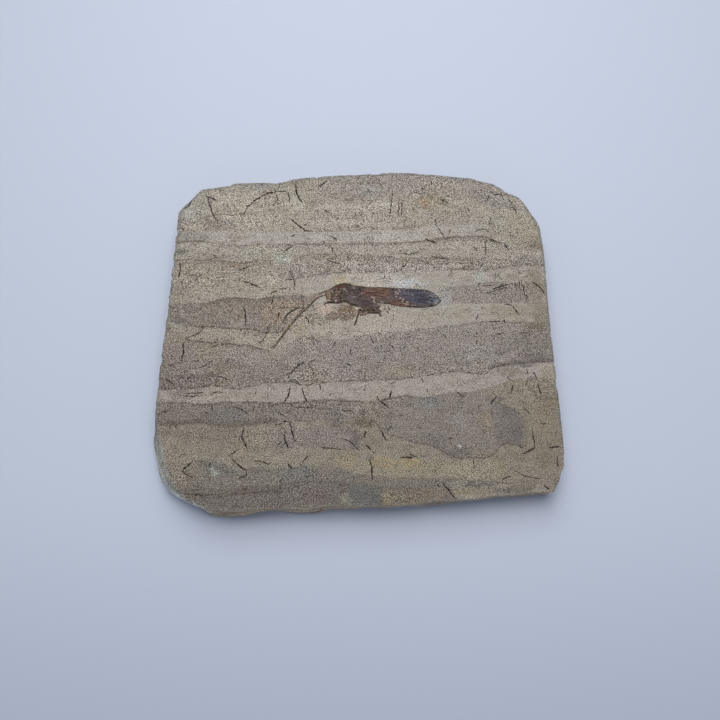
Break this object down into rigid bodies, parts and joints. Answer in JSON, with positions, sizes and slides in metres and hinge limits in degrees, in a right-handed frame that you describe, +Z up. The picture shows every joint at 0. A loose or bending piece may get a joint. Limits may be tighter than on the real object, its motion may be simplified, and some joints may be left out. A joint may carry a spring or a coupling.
{
  "type": "fossil insect slab",
  "caption": "Thin split slab of banded sedimentary stone that lies flat and shows a flattened long-winged insect with long antennae in low relief on its upper face.",
  "frame": {"origin": "under the middle of the slab, on the plane it rests on", "axes": "+Z up out of the face that shows the insect; +X along the longer side, the way the insect's folded wings point; +Y away from the near edge"},
  "size_m": [0.1136, 0.106, 0.0086],
  "materials": {
    "stone": "matt, finely banded in beige, grey-brown and olive, with fine dark grain and scattered dark plant-like fragments",
    "fossil": "dark carbonised film in low relief, blackish head and wing tip, reddish brown wing base, slight satin sheen"
  },
  "bodies": {
    "root": {"stone_slab": "stone", "fossil_insect": "fossil"}
  },
  "joints": []
}
